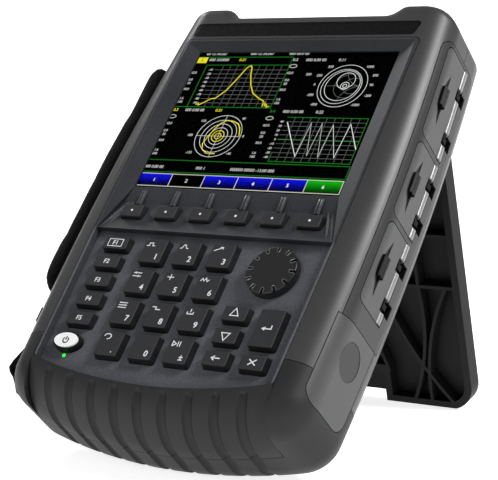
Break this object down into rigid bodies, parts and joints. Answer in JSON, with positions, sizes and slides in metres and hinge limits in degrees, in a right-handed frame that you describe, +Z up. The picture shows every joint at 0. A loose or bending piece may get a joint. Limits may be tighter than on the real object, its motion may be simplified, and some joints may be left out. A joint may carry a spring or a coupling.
{
  "type": "handheld vector network analyzer",
  "caption": "Handheld radio network analyzer with display, soft keys, keypad, knob, side doors, hand strap and a ribbed kickstand that holds it leaning back.",
  "frame": {"origin": "on the floor, under the middle of the standing object's bounding box", "axes": "+X to the right of a person facing the screen, +Y away from that person, +Z up"},
  "size_m": [0.2061, 0.231, 0.2364],
  "materials": {
    "housing": "moulded matte grey",
    "bumper": "dark grey rubber",
    "panel": "satin slate",
    "nameplate": "smooth black",
    "window": "clear",
    "screen": "lit display",
    "lamp": "green lamp",
    "keys": "satin charcoal",
    "power_key": "white cap on a dark skirt",
    "knob": "black",
    "steel": "bright steel",
    "board": "green circuit board",
    "side_tray": "matte grey",
    "doors": "lighter matte grey",
    "battery_door": "matte grey",
    "battery": "black",
    "stand": "dark matte",
    "metal": "plain sheet",
    "strap": "black woven",
    "anchor": "black"
  },
  "bodies": {
    "analyzer": {"front_shell": "housing", "rear_shell": "housing", "front_bumper": "bumper", "rear_bumper": "bumper", "front_panel": "panel", "nameplate": "nameplate", "display_window": "window", "lcd_module": "screen", "status_led": "lamp", "encoder": "steel", "keypad_board": "board", "side_tray": "side_tray", "side_connectors": "steel", "door_hinge_pins": "steel", "battery_pack": "battery", "kickstand_pin": "steel", "top_panel": "metal", "test_ports": "steel", "rf_module": "metal", "main_board": "board", "case_screws": "steel", "hand_strap": "strap", "strap_anchors": "anchor"},
    "softkey_1": {"softkey_1": "keys"},
    "softkey_2": {"softkey_2": "keys"},
    "softkey_3": {"softkey_3": "keys"},
    "softkey_4": {"softkey_4": "keys"},
    "softkey_5": {"softkey_5": "keys"},
    "softkey_6": {"softkey_6": "keys"},
    "function_key_1": {"function_key_1": "keys"},
    "function_key_2": {"function_key_2": "keys"},
    "function_key_3": {"function_key_3": "keys"},
    "function_key_4": {"function_key_4": "keys"},
    "function_key_5": {"function_key_5": "keys"},
    "key_1": {"key_1": "keys"},
    "key_2": {"key_2": "keys"},
    "key_3": {"key_3": "keys"},
    "key_4": {"key_4": "keys"},
    "key_5": {"key_5": "keys"},
    "key_6": {"key_6": "keys"},
    "key_7": {"key_7": "keys"},
    "key_8": {"key_8": "keys"},
    "key_9": {"key_9": "keys"},
    "key_point": {"key_point": "keys"},
    "key_0": {"key_0": "keys"},
    "key_sign": {"key_sign": "keys"},
    "key_back": {"key_back": "keys"},
    "key_down": {"key_down": "keys"},
    "key_up": {"key_up": "keys"},
    "key_escape": {"key_escape": "keys"},
    "key_enter": {"key_enter": "keys"},
    "power_button": {"power_button": "power_key"},
    "door_upper": {"door_upper": "doors"},
    "door_middle": {"door_middle": "doors"},
    "door_lower": {"door_lower": "doors"},
    "knob": {"knob": "knob"},
    "battery_door": {"battery_door": "battery_door"},
    "battery_button": {"battery_button": "battery_door"},
    "kickstand": {"kickstand": "stand"}
  },
  "joints": [
    {"name": "knob_turn", "type": "hinge", "parent": "analyzer", "child": "knob", "pos_m": [0.0538, -0.05885, 0.10237], "axis": [0, -0.7316, 0.6817], "continuous": true},
    {"name": "door_upper_hinge", "type": "hinge", "parent": "analyzer", "child": "door_upper", "pos_m": [0.09649, 0.05541, 0.1763], "axis": [-0.0638, 0.6803, 0.7301], "range_deg": [0, 100]},
    {"name": "door_middle_hinge", "type": "hinge", "parent": "analyzer", "child": "door_middle", "pos_m": [0.09925, 0.0153, 0.13325], "axis": [-0.0302, 0.6814, 0.7313], "range_deg": [0, 100]},
    {"name": "door_lower_hinge", "type": "hinge", "parent": "analyzer", "child": "door_lower", "pos_m": [0.10005, -0.02059, 0.09474], "axis": [-0.0001, 0.6817, 0.7316], "range_deg": [0, 100]},
    {"name": "battery_door_slide", "type": "slide", "parent": "analyzer", "child": "battery_door", "axis": [1, 0, 0], "range_m": [0, 0.04]},
    {"name": "battery_button_press", "type": "slide", "parent": "battery_door", "child": "battery_button", "axis": [-1, 0, 0], "range_m": [0, 0.0015], "stiffness_N_per_m": 800},
    {"name": "kickstand_fold", "type": "hinge", "parent": "analyzer", "child": "kickstand", "pos_m": [0.0063, 0.06989, 0.15545], "axis": [-1, 0, 0], "range_deg": [0, 57.4]},
    {"name": "softkey_1_press", "type": "slide", "parent": "analyzer", "child": "softkey_1", "axis": [0, 0.7316, -0.6817], "range_m": [0, 0.0012], "stiffness_N_per_m": 800},
    {"name": "softkey_2_press", "type": "slide", "parent": "analyzer", "child": "softkey_2", "axis": [0, 0.7316, -0.6817], "range_m": [0, 0.0012], "stiffness_N_per_m": 800},
    {"name": "softkey_3_press", "type": "slide", "parent": "analyzer", "child": "softkey_3", "axis": [0, 0.7316, -0.6817], "range_m": [0, 0.0012], "stiffness_N_per_m": 800},
    {"name": "softkey_4_press", "type": "slide", "parent": "analyzer", "child": "softkey_4", "axis": [0, 0.7316, -0.6817], "range_m": [0, 0.0012], "stiffness_N_per_m": 800},
    {"name": "softkey_5_press", "type": "slide", "parent": "analyzer", "child": "softkey_5", "axis": [0, 0.7316, -0.6817], "range_m": [0, 0.0012], "stiffness_N_per_m": 800},
    {"name": "softkey_6_press", "type": "slide", "parent": "analyzer", "child": "softkey_6", "axis": [0, 0.7316, -0.6817], "range_m": [0, 0.0012], "stiffness_N_per_m": 800},
    {"name": "function_key_1_press", "type": "slide", "parent": "analyzer", "child": "function_key_1", "axis": [0, 0.7316, -0.6817], "range_m": [0, 0.0012], "stiffness_N_per_m": 800},
    {"name": "function_key_2_press", "type": "slide", "parent": "analyzer", "child": "function_key_2", "axis": [0, 0.7316, -0.6817], "range_m": [0, 0.0012], "stiffness_N_per_m": 800},
    {"name": "function_key_3_press", "type": "slide", "parent": "analyzer", "child": "function_key_3", "axis": [0, 0.7316, -0.6817], "range_m": [0, 0.0012], "stiffness_N_per_m": 800},
    {"name": "function_key_4_press", "type": "slide", "parent": "analyzer", "child": "function_key_4", "axis": [0, 0.7316, -0.6817], "range_m": [0, 0.0012], "stiffness_N_per_m": 800},
    {"name": "function_key_5_press", "type": "slide", "parent": "analyzer", "child": "function_key_5", "axis": [0, 0.7316, -0.6817], "range_m": [0, 0.0012], "stiffness_N_per_m": 800},
    {"name": "key_1_press", "type": "slide", "parent": "analyzer", "child": "key_1", "axis": [0, 0.7316, -0.6817], "range_m": [0, 0.0012], "stiffness_N_per_m": 800},
    {"name": "key_2_press", "type": "slide", "parent": "analyzer", "child": "key_2", "axis": [0, 0.7316, -0.6817], "range_m": [0, 0.0012], "stiffness_N_per_m": 800},
    {"name": "key_3_press", "type": "slide", "parent": "analyzer", "child": "key_3", "axis": [0, 0.7316, -0.6817], "range_m": [0, 0.0012], "stiffness_N_per_m": 800},
    {"name": "key_4_press", "type": "slide", "parent": "analyzer", "child": "key_4", "axis": [0, 0.7316, -0.6817], "range_m": [0, 0.0012], "stiffness_N_per_m": 800},
    {"name": "key_5_press", "type": "slide", "parent": "analyzer", "child": "key_5", "axis": [0, 0.7316, -0.6817], "range_m": [0, 0.0012], "stiffness_N_per_m": 800},
    {"name": "key_6_press", "type": "slide", "parent": "analyzer", "child": "key_6", "axis": [0, 0.7316, -0.6817], "range_m": [0, 0.0012], "stiffness_N_per_m": 800},
    {"name": "key_7_press", "type": "slide", "parent": "analyzer", "child": "key_7", "axis": [0, 0.7316, -0.6817], "range_m": [0, 0.0012], "stiffness_N_per_m": 800},
    {"name": "key_8_press", "type": "slide", "parent": "analyzer", "child": "key_8", "axis": [0, 0.7316, -0.6817], "range_m": [0, 0.0012], "stiffness_N_per_m": 800},
    {"name": "key_9_press", "type": "slide", "parent": "analyzer", "child": "key_9", "axis": [0, 0.7316, -0.6817], "range_m": [0, 0.0012], "stiffness_N_per_m": 800},
    {"name": "key_point_press", "type": "slide", "parent": "analyzer", "child": "key_point", "axis": [0, 0.7316, -0.6817], "range_m": [0, 0.0012], "stiffness_N_per_m": 800},
    {"name": "key_0_press", "type": "slide", "parent": "analyzer", "child": "key_0", "axis": [0, 0.7316, -0.6817], "range_m": [0, 0.0012], "stiffness_N_per_m": 800},
    {"name": "key_sign_press", "type": "slide", "parent": "analyzer", "child": "key_sign", "axis": [0, 0.7316, -0.6817], "range_m": [0, 0.0012], "stiffness_N_per_m": 800},
    {"name": "key_back_press", "type": "slide", "parent": "analyzer", "child": "key_back", "axis": [0, 0.7316, -0.6817], "range_m": [0, 0.0012], "stiffness_N_per_m": 800},
    {"name": "key_down_press", "type": "slide", "parent": "analyzer", "child": "key_down", "axis": [0, 0.7316, -0.6817], "range_m": [0, 0.0012], "stiffness_N_per_m": 800},
    {"name": "key_up_press", "type": "slide", "parent": "analyzer", "child": "key_up", "axis": [0, 0.7316, -0.6817], "range_m": [0, 0.0012], "stiffness_N_per_m": 800},
    {"name": "key_escape_press", "type": "slide", "parent": "analyzer", "child": "key_escape", "axis": [0, 0.7316, -0.6817], "range_m": [0, 0.0012], "stiffness_N_per_m": 800},
    {"name": "key_enter_press", "type": "slide", "parent": "analyzer", "child": "key_enter", "axis": [0, 0.7316, -0.6817], "range_m": [0, 0.0012], "stiffness_N_per_m": 800},
    {"name": "power_button_press", "type": "slide", "parent": "analyzer", "child": "power_button", "axis": [0, 0.7316, -0.6817], "range_m": [0, 0.0012], "stiffness_N_per_m": 800}
  ]
}
